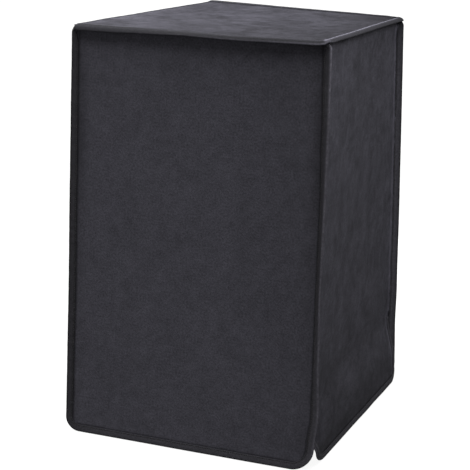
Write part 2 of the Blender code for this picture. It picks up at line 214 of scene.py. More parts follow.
# Broad soft folds: their middle across (-1 to 1) and up (0 to 1), half width, half length, how far they stand
# out, and how far they lean.
Fold = namedtuple("Fold", "across up half_across half_up out lean")
FOLDS = {
    "front": (
        Fold(-0.45, 0.70, 90, 170, 1.6, 12), Fold(0.40, 0.45, 70, 210, -1.8, -8),
        Fold(-0.20, 0.22, 120, 90, 1.4, 30), Fold(0.72, 0.80, 45, 120, -1.6, 5),
        Fold(0.62, 0.12, 60, 80, 1.5, -20), Fold(-0.80, 0.35, 40, 160, -1.2, 4),
    ),
    "right": (
        Fold(-0.55, 0.80, 60, 120, 2.2, 14), Fold(0.15, 0.62, 80, 220, -3.0, 8),
        Fold(0.75, 0.70, 50, 180, 2.0, -4), Fold(-0.30, 0.28, 90, 110, -2.0, -18),
        Fold(0.45, 0.20, 90, 90, 1.8, 24),
    ),
    "back": (
        Fold(-0.40, 0.60, 100, 200, 2.0, -10), Fold(0.45, 0.35, 80, 160, -2.4, 14),
        Fold(0.10, 0.85, 120, 80, -1.6, 0),
    ),
    "left": (
        Fold(-0.35, 0.70, 80, 180, -2.4, 10), Fold(0.40, 0.50, 70, 200, 2.0, -12),
        Fold(0.00, 0.18, 140, 80, -1.8, 8),
    ),
    "top": (
        Fold(-0.45, 0.45, 70, 130, -1.2, 20), Fold(0.50, 0.62, 60, 140, -1.4, -15),
        Fold(0.20, 0.03, 110, 60, -1.6, 6), Fold(-0.30, 0.86, 90, 50, 1.0, -8),
    ),
}

# Each wall's seams as seen from outside, whether tape binds its sides, how far its middle bellies out, and
# how far it stands out just under the top.
Wall = namedtuple("Wall", "left right bound belly tuck")
WALLS = {
    "front": Wall("front_left", "front_right", True, 2.0, 2.5),
    "right": Wall("front_right", "back_right", False, -2.5, 1.5),
    "back": Wall("back_right", "back_left", True, 2.0, 2.0),
    "left": Wall("back_left", "front_left", False, -2.0, 1.5),
}

# Unevenness of the cloth: how high it is and how wide. Puckers fade away from the seams and from the top.
Relief = namedtuple("Relief", "height cell")
SLOW_WANDER, FINE_WANDER = Relief(0.30, 62), Relief(0.05, 17)
SEAM_PUCKERS, TOP_PUCKERS = Relief(0.30, 7), Relief(0.30, 6)
SEAM_PUCKER_REACH, TOP_PUCKER_REACH = 9 * MM, 10 * MM

# Stripes of painted shade on the front and back: a thin dark line painted where the tape's inner edge lies,
# as the shade of its groove, and softer painted shade beside the upright tapes, most of all in the upper
# half. Painted shade also darkens the cloth from left to right.
Stripe = namedtuple("Stripe", "strength at half_width")
PAINTED_EDGE_SHADE = Stripe(0.55, 14, 2)
SHADE_BESIDE_TAPE = Stripe(1, 16, 14)
SHADE_BESIDE_EVERYWHERE, SHADE_BESIDE_HIGH_UP = 0.12, Stripe(0.28, 570, 170)
LEFT_TONE, PAINTED_SHADE_RIGHTWARD = 0.96, 0.14
PANEL_MOTTLE = 0.09


def ease(part):
    """3p^2 - 2p^3: rises from 0 to 1 as p goes from 0 to 1, flat at both ends."""
    part = np.clip(part, 0, 1)
    return part * part * (3 - 2 * part)


def band(distance, half_width):
    """1 on a line, falling to 0 a few half widths away: exp(-(d / w)^2)."""
    return np.exp(-((distance / half_width) ** 2))


def stripe(distance, line):
    """A stripe at a distance from an edge: its strength times a band of its half width."""
    return line.strength * band(distance - line.at * MM, line.half_width * MM)


def between(rows, column, height):
    """One column of a seam's table at any height: the rows' values, eased from one to the next."""
    heights = np.array([row.height for row in rows]) * MM
    values = np.array([getattr(row, column) for row in rows], float)
    below = np.clip(np.searchsorted(heights, height, side="right") - 1, 0, len(rows) - 2)
    part = ease((height - heights[below]) / (heights[below + 1] - heights[below]))
    return values[below] + (values[below + 1] - values[below]) * part


def grain(u, v, cell, seed):
    """Smooth noise from -1 to 1: random values on a square lattice of this cell, eased from one corner of a
    cell to the next."""
    values = np.random.default_rng(seed).uniform(-1, 1, (LATTICE, LATTICE))
    u, v = u / cell, v / cell
    i, j = np.floor(u).astype(int), np.floor(v).astype(int)
    p, q = ease(u - i), ease(v - j)
    i, next_i, j, next_j = i % LATTICE, (i + 1) % LATTICE, j % LATTICE, (j + 1) % LATTICE
    near = values[i, j] * (1 - p) + values[next_i, j] * p
    far = values[i, next_j] * (1 - p) + values[next_i, next_j] * p
    return near * (1 - q) + far * q


def relief(kind, u, v, seed):
    """Unevenness of one kind, in millimetres: its height times the grain of its cell."""
    return kind.height * grain(u, v, kind.cell * MM, seed)


def folds(side, across, up, width, height):
    """Sum of a side's broad folds: each is its height times exp(-a^2 - b^2), where a and b are measured along
    and across its lean in half lengths. All fade out at the left and right edges by 1 - across^4."""
    total = 0 * across
    for fold in FOLDS[side]:
        aside = (across - fold.across) * width / 2
        above = (up - fold.up) * height
        lean = radians(fold.lean)
        along = (above * cos(lean) + aside * sin(lean)) / (fold.half_up * MM)
        over = (aside * cos(lean) - above * sin(lean)) / (fold.half_across * MM)
        total = total + fold.out * MM * np.exp(-(along**2) - over**2)
    return total * (1 - across**4)


def seam_line(name, height):
    """Plan position of a vertical seam: the box's corner, moved out by amounts that run straight from hem to
    top, and shifted sideways as its table says."""
    corner = CORNERS[name]
    part = height / HEIGHT
    out_x = corner.hem_x + (corner.top_x - corner.hem_x) * part + between(SEAMS[name], "shift", height)
    out_y = corner.hem_y + (corner.top_y - corner.hem_y) * part
    x = corner.x_side * (WIDTH / 2 + out_x * MM)
    y = corner.y_side * (DEPTH / 2 + out_y * MM)
    return np.stack([x, y + 0 * x], axis=-1)


def top_height(plan):
    """Middle of the top's cloth: the corners' lifts mixed by place, a sag of 1 - (1 - u^2)(1 - v^2), and
    folds."""
    u = np.clip(plan[..., 0] / (WIDTH / 2), -1, 1)
    v = np.clip(plan[..., 1] / (DEPTH / 2), -1, 1)
    lift = sum(c.lift * (1 + c.x_side * u) * (1 + c.y_side * v) / 4 for c in CORNERS.values())
    middle = sum(c.lift for c in CORNERS.values()) / 4
    rise = TOP_SAG * (1 - (1 - u**2) * (1 - v**2))
    return CLOTH / 2 + (lift - middle) * MM + rise + folds("top", u, (v + 1) / 2, WIDTH, DEPTH)


def wall_frame(side, height):
    """A wall's left and right seam, the unit vectors along it and out of it, and half its span, at any
    height."""
    wall = WALLS[side]
    left, right = seam_line(wall.left, height), seam_line(wall.right, height)
    length = np.linalg.norm(right - left, axis=-1, keepdims=True)
    along = (right - left) / length
    outward = np.stack([along[..., 1], -along[..., 0]], axis=-1)
    return left, right, along, outward, length[..., 0] / 2


def corner_radius(side, end, height):
    """Radius of the rounded corner at a wall's left (-1) or right (1) edge, and the distance from this height
    to the straight edge that it rounds into. The upper corners of a side panel are square."""
    wall = WALLS[side]
    corner = CORNERS[wall.left if end < 0 else wall.right]
    if not wall.bound:
        return corner.side_corner * MM, height
    lower = height < HEIGHT / 2
    radius = np.where(lower, corner.bound_corner * MM, FLANGE_TIP_CORNER)
    return radius, np.where(lower, height, HEIGHT - height)


def arc_inset(radius, off):
    """How far a rounded corner stands in from its tangent: r - sqrt(r^2 - (r - off)^2)."""
    rise = np.clip(radius - off, 0, radius)
    return radius - np.sqrt(np.maximum(radius**2 - rise**2, 0))


def cloth_relief(side, across, height, half):
    """Small unevenness of a wall: a slow wander, a fine one, and short puckers that fade away from the seams
    and from the top edge by exp(-d / reach)."""
    seed = 10 * sorted(WALLS).index(side)
    wander = relief(SLOW_WANDER, across, height, seed) + relief(FINE_WANDER, across, height, seed + 1)
    near_seam = np.exp(-np.maximum(half - np.abs(across), 0) / SEAM_PUCKER_REACH)
    near_top = np.exp(-np.maximum(HEIGHT - height, 0) / TOP_PUCKER_REACH)
    pucker = near_seam * relief(SEAM_PUCKERS, height, 0 * height, seed + 2)
    pucker = pucker + near_top * relief(TOP_PUCKERS, across, 0 * across, seed + 3)
    return (wander + pucker) * MM


def wall_point(side, across, height):
    """Middle of a wall's cloth, across metres to the right of its middle line and this far above the hem: a
    straight span between the seams, moved out by its folds, its belly (1 - p^2)(sin(pi h))^2 and its tuck
    (1 - p^8) ease. A side panel also swings out towards its hem. Past its seams a bound panel runs on over
    the flange, turned out by the seam's angle, with its upper end dropped."""
    wall = WALLS[side]
    left, right, along, outward, half = wall_frame(side, height)
    inner = np.clip(across, -half, half)
    part = inner / half
    up = height / HEIGHT
    out = folds(side, part, up, WIDTH if wall.bound else DEPTH, HEIGHT)
    out = out + wall.belly * MM * (1 - part**2) * np.sin(pi * np.clip(up, 0, 1)) ** 2
    out = out + wall.tuck * MM * (1 - part**8) * ease(1 - (HEIGHT - height) / TUCK_HEIGHT)
    out = out + cloth_relief(side, inner, height, half)
    first, last = CORNERS[wall.left], CORNERS[wall.right]
    along_hem = (part + 1) / 2
    rise = (first.rise + (last.rise - first.rise) * along_hem) * MM
    if not wall.bound:
        seam_end = (first.seam_end + (last.seam_end - first.seam_end) * along_hem) * MM
        reach = seam_end + (FLARE_HEIGHT - seam_end) * (1 - part**4)
        splay = (first.splay + (last.splay - first.splay) * along_hem) * MM
        out = out - SIDE_INSET + splay * ease((1 - height / reach) / FLARE_SHARE)
    plan = (left + right) / 2 + along * inner[..., None] + outward * out[..., None]
    top = top_height(plan) - UNDER_TOP
    if wall.bound:
        beyond = np.abs(across) - half
        turn = np.where(
            across < 0, between(SEAMS[wall.left], "turn", height), between(SEAMS[wall.right], "turn", height)
        )
        turn = np.radians(turn)[..., None]
        away = np.sign(across)[..., None] * along * np.cos(turn) + outward * np.sin(turn)
        plan = plan + away * np.maximum(beyond, 0)[..., None]
        drop = np.where(across < 0, first.drop, last.drop)
        top = top - drop * MM * ease(1 + beyond / FLANGE_DROP_RUN)
    z = rise - HEIGHT + (top + HEIGHT - rise) * up
    return np.concatenate([plan, z[..., None]], axis=-1)


def crowded(count, share=0.85):
    """Numbers from 0 to 1 that crowd together at both ends: t - share sin(2 pi t) / 2 pi."""
    t = np.linspace(0, 1, count)
    return t - share * np.sin(2 * pi * t) / (2 * pi)


def bound_edge(side, end, height):
    """Distance from a bound wall's middle line to its edge: half the span and the flange, less the corner's
    arc."""
    return wall_frame(side, height)[4] + FLANGE - arc_inset(*corner_radius(side, end, height))


def closed_lines(lines, side, height, edge):
    """Grid lines of a wall, with those near each edge drawn in where a corner is rounded off: those within a
    few radii of the edge are scaled in every row to end on it."""
    for end in (-1, 1):
        closing = CORNER_CLOSING * corner_radius(side, end, height)[0]
        outer = lines[:, :1] * end if end < 0 else lines[:, -1:] * end
        start = outer - closing
        reach = lines * end - start
        closed = end * (start + reach * (edge(side, end, height) - start) / closing)
        lines = np.where(reach > 0, closed, lines)
    return lines


def grid_piece(name, points, thickness, uv, tone, ring=False):
    """A mesh object from a grid of points (rows, columns, 3), given its thickness on both sides. It has a UV
    map in metres and a tone that lightens or darkens its colour, carrying mottling and painted light and
    shade. A ring's last row joins its first."""
    rows, columns = points.shape[:2]
    used = rows - 1 if ring else rows
    index = np.arange(used * columns).reshape(used, columns)
    below = index if ring else index[:-1]
    above = np.roll(index, -1, axis=0) if ring else index[1:]
    faces = np.stack([below[:, :-1], below[:, 1:], above[:, 1:], above[:, :-1]], axis=-1).reshape(-1, 4)
    mesh = bpy.data.meshes.new(name)
    mesh.from_pydata(points[:used].reshape(-1, 3), [], faces)
    corner = np.stack([uv[:-1, :-1], uv[:-1, 1:], uv[1:, 1:], uv[1:, :-1]], axis=2).reshape(-1, 2)
    mesh.uv_layers.new(name="cut").data.foreach_set("uv", corner.astype(np.float32).ravel())
    tone = np.broadcast_to(tone, points.shape[:2])[:used].astype(np.float32)
    mesh.attributes.new("tone", "FLOAT", "POINT").data.foreach_set("value", tone.ravel())
    mesh.shade_smooth()
    piece = bpy.data.objects.new(name, mesh)
    bpy.context.scene.collection.objects.link(piece)
    solidify = piece.modifiers.new("thickness", "SOLIDIFY")
    solidify.thickness = thickness
    solidify.offset = 0.0
    solidify.use_even_offset = True
    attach(piece, "root")
    return piece


def new_finish(name):
    """A material with nodes, its shader, and a helper that adds a node with its settings."""
    finish = bpy.data.materials.new(name)
    finish.use_nodes = True
    tree = finish.node_tree

    def add(kind, inputs=(), **settings):
        node = tree.nodes.new(kind)
        for key, value in settings.items():
            setattr(node, key, value)
        for key, value in dict(inputs).items():
            if isinstance(value, bpy.types.NodeSocket):
                tree.links.new(value, node.inputs[key])
            else:
                node.inputs[key].default_value = value
        return node

    return finish, tree.nodes["Principled BSDF"], add


def wave_scale(pitch):
    """Scale of a wave pattern whose ribs are a pitch apart: 2 pi / (20 pitch)."""
    return 2 * pi / (20 * pitch)


def toned_colour(finish, shader, add, colour, shade):
    """Base colour of a finish: its colour times a shade that varies over it, times the piece's own tone,
    which carries painted light and shade.
    """
    tone = add("ShaderNodeAttribute", attribute_name="tone").outputs["Fac"]
    shade = add("ShaderNodeMath", {0: shade, 1: tone}, operation="MULTIPLY").outputs[0]
    tint = add("ShaderNodeVectorMath", {0: colour, "Scale": shade}, operation="SCALE").outputs[0]
    finish.node_tree.links.new(tint, shader.inputs["Base Color"])


def cloth_finish(name, colour):
    """Plain-woven cloth: crossed sine ribs of two threads' pitch as a fine bump, specks of 3 mm as a coarser
    one, and a base colour that varies with the same specks and with clouds of 17 mm."""
    finish, shader, add = new_finish(name)
    place = add("ShaderNodeUVMap", uv_map="cut").outputs["UV"]
    threads = {"Vector": place, "Scale": wave_scale(2 * THREAD), "Distortion": 0.6, "Detail Scale": 2.0}
    ribs = [
        add("ShaderNodeTexWave", threads, wave_type="BANDS", bands_direction=direction).outputs["Fac"]
        for direction in ("X", "Y")
    ]
    weave = add("ShaderNodeMath", {0: ribs[0], 1: ribs[1]}, operation="MULTIPLY").outputs[0]
    specks = add("ShaderNodeTexNoise", {"Vector": place, "Scale": 300.0, "Detail": 2.0}).outputs["Fac"]
    clouds = add("ShaderNodeTexNoise", {"Vector": place, "Scale": 60.0, "Detail": 3.0}).outputs["Fac"]
    shade = add("ShaderNodeMath", {0: clouds, 1: 0.35, 2: specks}, operation="MULTIPLY_ADD").outputs[0]
    shade = add("ShaderNodeMapRange", {
        "Value": shade, "From Min": 0.425, "From Max": 0.925, "To Min": 0.66, "To Max": 1.34,
    }).outputs["Result"]
    toned_colour(finish, shader, add, colour, shade)
    coarse = add("ShaderNodeBump", {"Height": specks, "Strength": 0.35, "Distance": 0.5 * MM})
    fine = add("ShaderNodeBump", {
        "Height": weave, "Normal": coarse.outputs["Normal"], "Strength": 0.35, "Distance": 0.15 * MM,
    })
    finish.node_tree.links.new(fine.outputs["Normal"], shader.inputs["Normal"])
    shader.inputs["Roughness"].default_value = 0.85
    shader.inputs["Specular IOR Level"].default_value = 0.12
    return finish


def mottle(u, v, depth):
    """Cloudy unevenness of a cloth's tone about 1: patches of 7 mm, and weaker ones of 30 mm."""
    return 1 + depth * (grain(u, v, 7 * MM, seed=81) + 0.7 * grain(u, v, 30 * MM, seed=82))


cloth = cloth_finish("charcoal_cloth", CLOTH_COLOUR)
heights = (HEIGHT * crowded(WALL_ROWS))[:, None]
for side in ("front", "back"):
    half_span = wall_frame(side, heights)[4]
    margin = np.array(FLANGE_LINES) / FLANGE_LINES[0] * FLANGE
    middle = crowded(PANEL_COLUMNS, 0.8)[1:-1] * 2 - 1
    lines = np.concatenate([-half_span - margin, half_span * middle, half_span + margin[::-1]], axis=1)
    lines = closed_lines(lines, side, heights, bound_edge)
    rows = np.broadcast_to(heights, lines.shape)
    inside = np.minimum(bound_edge(side, -1, heights) + lines, bound_edge(side, 1, heights) - lines)
    # Painted shade: a dark line along the tape's inner edge, softer shade beside the upright tapes, and a
    # fall from left to right.
    tone = 1 - np.maximum(stripe(inside, PAINTED_EDGE_SHADE), stripe(rows, PAINTED_EDGE_SHADE))
    tone = tone * (1 - (SHADE_BESIDE_EVERYWHERE + stripe(rows, SHADE_BESIDE_HIGH_UP)) * stripe(inside, SHADE_BESIDE_TAPE))
    tone = tone * (LEFT_TONE - PAINTED_SHADE_RIGHTWARD * ease(lines / half_span)) * mottle(lines, rows, PANEL_MOTTLE)
    uv = np.stack([lines, rows], axis=-1)
    panel = grid_piece(f"{side}_cloth", wall_point(side, lines, rows), CLOTH, uv, tone)
    panel.data.materials.append(cloth)
    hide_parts(f"{side}_panel")


# ---- Side panels ---------------------------------------------------------------------------------------
# Two tall rectangles of the same cloth. Their side margins turn outwards behind the front and back panels'
# flanges, where one tape binds both. Near the hem the seams end, and the lower corners hang free.
CURL_RADIUS = 1.6 * MM
CURL_BACK = 0.9 * MM  # the curl starts this far before the seam, besides its radius
SEAM_ALLOWANCE = 9 * MM
SEAM_FADE = 14 * MM  # above a seam's end, where it is sewn fully
FREE_STEP = 3.2 * MM  # from a seam's line back to the free edge below its end
SIDE_COLUMNS = 104
# Grid lines across a side's margin, closest together where it curls.
SIDE_MARGIN = np.array([0, 1.5, 3.0, 4.5, 6, 7.4, 8.4, 9.2, 9.8, 10.4, 11, 11.6, 12.4, 13.6]) * MM

# Stripes of tone on the sides, all painted light and shade: a dark line of painted shade where the hem's tape
# lies, painted light along the right-hand seam, and painted shade towards the hem. A painted glint of
# speckled highlights lies at the top of the left-hand seam.
PAINTED_HEM_SHADE_LINE = Stripe(0.65, 14.5, 2.5)
PAINTED_LIGHT_BY_SEAM, PAINTED_GLOW_BY_SEAM = Stripe(0.9, 16, 4.5), Stripe(0.12, 16, 60)
PAINTED_HEM_FALL, PAINTED_HEM_FALL_HEIGHT = 0.35, 260 * MM
PAINTED_GLINT_ACROSS, PAINTED_GLINT_DOWN = Stripe(1, 12, 6), 22 * MM
PAINTED_GLINT_LIGHT, PAINTED_GLINT_CELL = 2.5, 3 * MM
SIDE_MOTTLE = 0.24


def sewn(corner, height):
    """1 where a side panel is sewn to its neighbour, 0 below the end of the seam, eased between."""
    return ease((height - corner.seam_end * MM) / SEAM_FADE)


def square_edge(side, end, height):
    """Distance from a side panel's middle line to its edge before the corner is rounded off: past the seam
    where it is sewn and turned out, and a step short of it where it hangs free."""
    wall = WALLS[side]
    fixed = sewn(CORNERS[wall.left if end < 0 else wall.right], height)
    return wall_frame(side, height)[4] + (SEAM_ALLOWANCE + FREE_STEP) * fixed - FREE_STEP


def side_edge(side, end, height):
    """Distance from a side panel's middle line to its edge: the square edge less the corner's arc."""
    return square_edge(side, end, height) - arc_inset(*corner_radius(side, end, height))


def side_point(side, across, height):
    """Middle of a side panel's cloth. Near a seam it leaves the wall on a small arc and runs on along the
    neighbour's flange. The arc's angle is a right angle less the flange's turn, times how far it is sewn."""
    wall = WALLS[side]
    along, outward, half = wall_frame(side, height)[2:]
    points = wall_point(side, np.clip(across, -half, half), height)
    for end, name in ((-1, wall.left), (1, wall.right)):
        fixed = sewn(CORNERS[name], height)
        angle = (pi / 2 - np.radians(between(SEAMS[name], "turn", height))) * fixed
        start = half - (CURL_RADIUS + CURL_BACK) * fixed
        past = np.maximum(across * end - start, 0)
        bend = np.minimum(past / CURL_RADIUS, angle)
        rest = past - bend * CURL_RADIUS
        on = CURL_RADIUS * np.sin(bend) + rest * np.cos(angle)
        off = CURL_RADIUS * (1 - np.cos(bend)) + rest * np.sin(angle)
        base = wall_point(side, end * start, height)
        moved = base[..., :2] + along * (end * on)[..., None] + outward * off[..., None]
        moved = np.concatenate([moved, base[..., 2:]], axis=-1)
        points = np.where((past > 0)[..., None], moved, points)
    return points


for side in ("left", "right"):
    low = SIDE_MARGIN - square_edge(side, -1, heights)
    high = square_edge(side, 1, heights) - SIDE_MARGIN
    middle = low[:, -1:] + (high[:, -1:] - low[:, -1:]) * crowded(SIDE_COLUMNS, 0.6)[1:-1]
    lines = np.concatenate([low, middle, high[:, ::-1]], axis=1)
    lines = closed_lines(lines, side, heights, side_edge)
    rows = np.broadcast_to(heights, lines.shape)
    from_left, from_right = lines - low[:, :1], high[:, :1] - lines
    # Painted shade: a dark line above the hem and a darkening towards it.
    tone = (1 - stripe(rows, PAINTED_HEM_SHADE_LINE)) * (1 - PAINTED_HEM_FALL * ease(1 - rows / PAINTED_HEM_FALL_HEIGHT))
    # Painted light along the right-hand seam.
    tone = tone * (1 + stripe(from_right, PAINTED_LIGHT_BY_SEAM) + stripe(from_right, PAINTED_GLOW_BY_SEAM))
    tone = tone * mottle(lines, rows, SIDE_MOTTLE)
    # Painted glint: speckled highlights at the top of the left-hand seam.
    glint = stripe(from_left, PAINTED_GLINT_ACROSS) * band(rows - HEIGHT, PAINTED_GLINT_DOWN)
    tone = tone + PAINTED_GLINT_LIGHT * glint * np.maximum(grain(lines, rows, PAINTED_GLINT_CELL, seed=83), 0)
    uv = np.stack([lines, rows], axis=-1)
    panel = grid_piece(f"{side}_cloth", side_point(side, lines, rows), CLOTH, uv, tone)
    panel.data.materials.append(cloth)
    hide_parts(f"{side}_panel")


# ---- Top -----------------------------------------------------------------------------------------------
# A rectangle of the same cloth with rounded corners, lying on the machine. Its margin stands out past the
# walls as a narrow brim, which droops along the front, most at its left end, and along the left.
CREASE_OUT = 2.0 * MM  # from a wall's cloth out to where the brim leaves the top
BRIM_CORNER = 20 * MM
BRIM_STEPS = 12  # short steps of changing slope from the crease to the tip
RIDGE_HEIGHT, RIDGE_HALF_WIDTH = 0.9 * MM, 2.2 * MM
CRUMPLE, CRUMPLE_SIZE, CRUMPLE_OUT = Relief(1.1, 5), 16 * MM, 4 * MM
TOP_WANDER, TOP_FINE_WANDER = Relief(0.35, 55), Relief(0.10, 15)
TOP_ROWS, TOP_COLUMNS = 150, 132
BRIM_LINES = (13.0, 12.4, 11.5, 10.3, 9, 7.5, 6, 4.5, 3, 1.5, 0.7)  # grid lines across the brim

# Slope of the brim where it leaves the top and at its tip, at parts of each side's length.
BrimRow = namedtuple("BrimRow", "part inner tip")
BRIM = {
    "front": (
        BrimRow(0, -20, -68), BrimRow(0.18, -16, -60), BrimRow(0.45, -4, -32), BrimRow(0.7, -8, -46),
        BrimRow(1, -8, -44),
    ),
    "right": (BrimRow(0, 10, -20), BrimRow(0.92, 7, -28), BrimRow(1, 0, -40)),
    "back": (BrimRow(0, 0, -15), BrimRow(0.06, 4, 0), BrimRow(1, 12, 12)),
    "left": (BrimRow(0, -16, -34), BrimRow(0.9, -22, -45), BrimRow(1, -28, -70)),
}

# The top's tone: painted light, strongest on the left, and painted shade to the right, along the front and
# the right edge, and round the far right corner. It is more mottled than the walls, with broad clouds.
PAINTED_LIGHT_TOP_LEFT, TOP_PAINTED_SHADE_RIGHTWARD = 1.35, 0.51
PAINTED_SHADE_TOP_FRONT, PAINTED_SHADE_TOP_FRONT_WIDTH = 0.20, 60 * MM
PAINTED_SHADE_TOP_RIGHT, PAINTED_SHADE_TOP_RIGHT_WIDTH = 0.20, 90 * MM
PAINTED_SHADE_FAR_CORNER, PAINTED_SHADE_FAR_CORNER_SIZE = 0.40, 110 * MM
TOP_MOTTLE = 0.32
TOP_CLOUDS, TOP_CLOUD_CELL = 0.16, 60 * MM


def top_line(side, part):
    """Plan position where the brim leaves the top, just outside a wall, at parts of its length."""
    height = np.full(np.shape(part), HEIGHT)
    outward, half = wall_frame(side, height)[3:]
    return wall_point(side, half * (2 * np.asarray(part) - 1), height)[..., :2] + outward * CREASE_OUT


def top_point(x, y):
    """Middle of the top's cloth at a place on the flat cut. Between the walls' upper edges it is mixed from
    them, with a low ridge along the right one and a crumple at the near right corner. Past them it adds up
    short steps along a brim whose slope changes from crease to tip."""
    q, r = np.clip(x / WIDTH + 0.5, 0, 1), np.clip(y / DEPTH + 0.5, 0, 1)
    left, right = top_line("left", 1 - r)[..., 0], top_line("right", r)[..., 0]
    front, back = top_line("front", q)[..., 1], top_line("back", 1 - q)[..., 1]
    plan = np.stack([left + (right - left) * q, front + (back - front) * r], axis=-1)
    z = top_height(plan) + (relief(TOP_WANDER, x, y, 71) + relief(TOP_FINE_WANDER, x, y, 72)) * MM
    z = z + RIDGE_HEIGHT * band(x - WIDTH / 2, RIDGE_HALF_WIDTH) * np.clip(1 - np.abs(y) / DEPTH, 0, 1)
    from_corner = np.hypot(x - WIDTH / 2 - CRUMPLE_OUT, y + DEPTH / 2 + CRUMPLE_OUT)
    z = z + relief(CRUMPLE, x, y, 73) * MM * band(from_corner, CRUMPLE_SIZE)
    outs = {
        "left": (-x - WIDTH / 2, (-1, 0), 1 - r),
        "right": (x - WIDTH / 2, (1, 0), r),
        "front": (-y - DEPTH / 2, (0, -1), q),
        "back": (y - DEPTH / 2, (0, 1), 1 - q),
    }
    for side, (past, way, part) in outs.items():
        beyond = np.maximum(past, 0)
        inner, tip = (
            np.interp(part, [row.part for row in BRIM[side]], [getattr(row, name) for row in BRIM[side]])
            for name in ("inner", "tip")
        )
        for step in (np.arange(BRIM_STEPS) + 0.5) / BRIM_STEPS:
            slope = np.radians(inner + (tip - inner) * np.clip(beyond * step / FLANGE, 0, 1))
            plan = plan + (beyond / BRIM_STEPS * np.cos(slope))[..., None] * np.array(way)
            z = z + beyond / BRIM_STEPS * np.sin(slope)
    return np.concatenate([plan, z[..., None]], axis=-1)


reach = np.array(BRIM_LINES) / BRIM_LINES[0] * FLANGE
edge_x, edge_y = WIDTH / 2 + reach, DEPTH / 2 + reach
y_lines = np.concatenate([-edge_y, (crowded(TOP_ROWS, 0.8) - 0.5) * DEPTH, edge_y[::-1]])[:, None]
x_lines = np.concatenate([-edge_x, (crowded(TOP_COLUMNS, 0.8) - 0.5) * WIDTH, edge_x[::-1]])[None]
closing = 2 * BRIM_CORNER
closed_by = arc_inset(BRIM_CORNER, edge_y[0] - np.abs(y_lines))
past = np.maximum(np.abs(x_lines) - (edge_x[0] - closing), 0)
x_lines = x_lines - np.sign(x_lines) * past * closed_by / closing
y_lines = np.broadcast_to(y_lines, x_lines.shape)
from_front, from_right, from_back = y_lines + DEPTH / 2, WIDTH / 2 - x_lines, DEPTH / 2 - y_lines
# Painted light and shade: lighter on the left, darker to the right, along the front, the right edge and the
# far right corner.
tone = PAINTED_LIGHT_TOP_LEFT - TOP_PAINTED_SHADE_RIGHTWARD * (x_lines / WIDTH + 0.5)
tone = tone - PAINTED_SHADE_TOP_FRONT * ease(1 - from_front / PAINTED_SHADE_TOP_FRONT_WIDTH)
tone = tone * (1 - PAINTED_SHADE_TOP_RIGHT * ease(1 - from_right / PAINTED_SHADE_TOP_RIGHT_WIDTH))
tone = tone * (1 - PAINTED_SHADE_FAR_CORNER * band(np.hypot(from_right, from_back), PAINTED_SHADE_FAR_CORNER_SIZE))
tone = tone * mottle(x_lines, y_lines, TOP_MOTTLE)
tone = tone * (1 + TOP_CLOUDS * grain(x_lines, y_lines, TOP_CLOUD_CELL, seed=84))
uv = np.stack([x_lines, y_lines], axis=-1)
top = grid_piece("top_cloth", top_point(x_lines, y_lines), CLOTH, uv, tone)
top.data.materials.append(cloth)
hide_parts("top_panel")


# ---- Bindings ------------------------------------------------------------------------------------------
# Charcoal tape, folded lengthwise over the panels' raw edges and sewn through with one row of stitches near
# its inner edge. One length goes round the front, one round the back and one on each side's hem, in a colour
# painted darker than the cloth as shade, and one of the cloth's own colour goes round the top: a shaded and a
# lit copy of the same tape.
TAPE = 0.6 * MM
TAPE_OFFSET = 1.25 * MM
# Painted shade: the tape's colour darkened for the upright and hem lengths.
SHADED_TAPE_COLOUR = (0.026, 0.025, 0.0300)
TAPE_RIB = 0.9 * MM
TAPE_SPACING = 3.3 * MM
TURN_CLEARANCE = 1.2 * MM  # kept free at the centre of a tight corner
TURN_WINDOW = 3  # points before and after, among which the sharpest turn counts
ROOM_WINDOW = 5  # points over which the tape's room is averaged
NORMAL_STEP = 0.5 * MM
WAVER, WAVER_CELL = 0.10, 8 * MM  # how unevenly the tape stands off the cloth
SHORT_OF_SEAM = 4  # a hem's tape ends this far below the seam's end
COURSE_POINTS, BRIM_CORNER_POINTS = 3000, 60

# One face of the tape from its inner edge to its fold: depth inside the panel's edge, and distance from the
# cloth as a part of TAPE_OFFSET. It dips where the stitches sink in. The other face mirrors it.
TapeLine = namedtuple("TapeLine", "depth stand_off")
TAPE_HALF = (
    TapeLine(12.5, 0.72), TapeLine(12.3, 0.95), TapeLine(11.7, 1.12), TapeLine(11.1, 0.95),
    TapeLine(10.7, 0.80), TapeLine(10.3, 0.95), TapeLine(9.6, 1.10), TapeLine(8.0, 1.18),
    TapeLine(6.0, 1.20), TapeLine(4.0, 1.16), TapeLine(2.4, 1.10), TapeLine(1.2, 1.00),
    TapeLine(0.3, 0.82), TapeLine(-0.5, 0.50),
)
TAPE_PROFILE = TAPE_HALF + (TapeLine(-0.9, 0.0),) + tuple(
    TapeLine(line.depth, -line.stand_off) for line in reversed(TAPE_HALF)
)

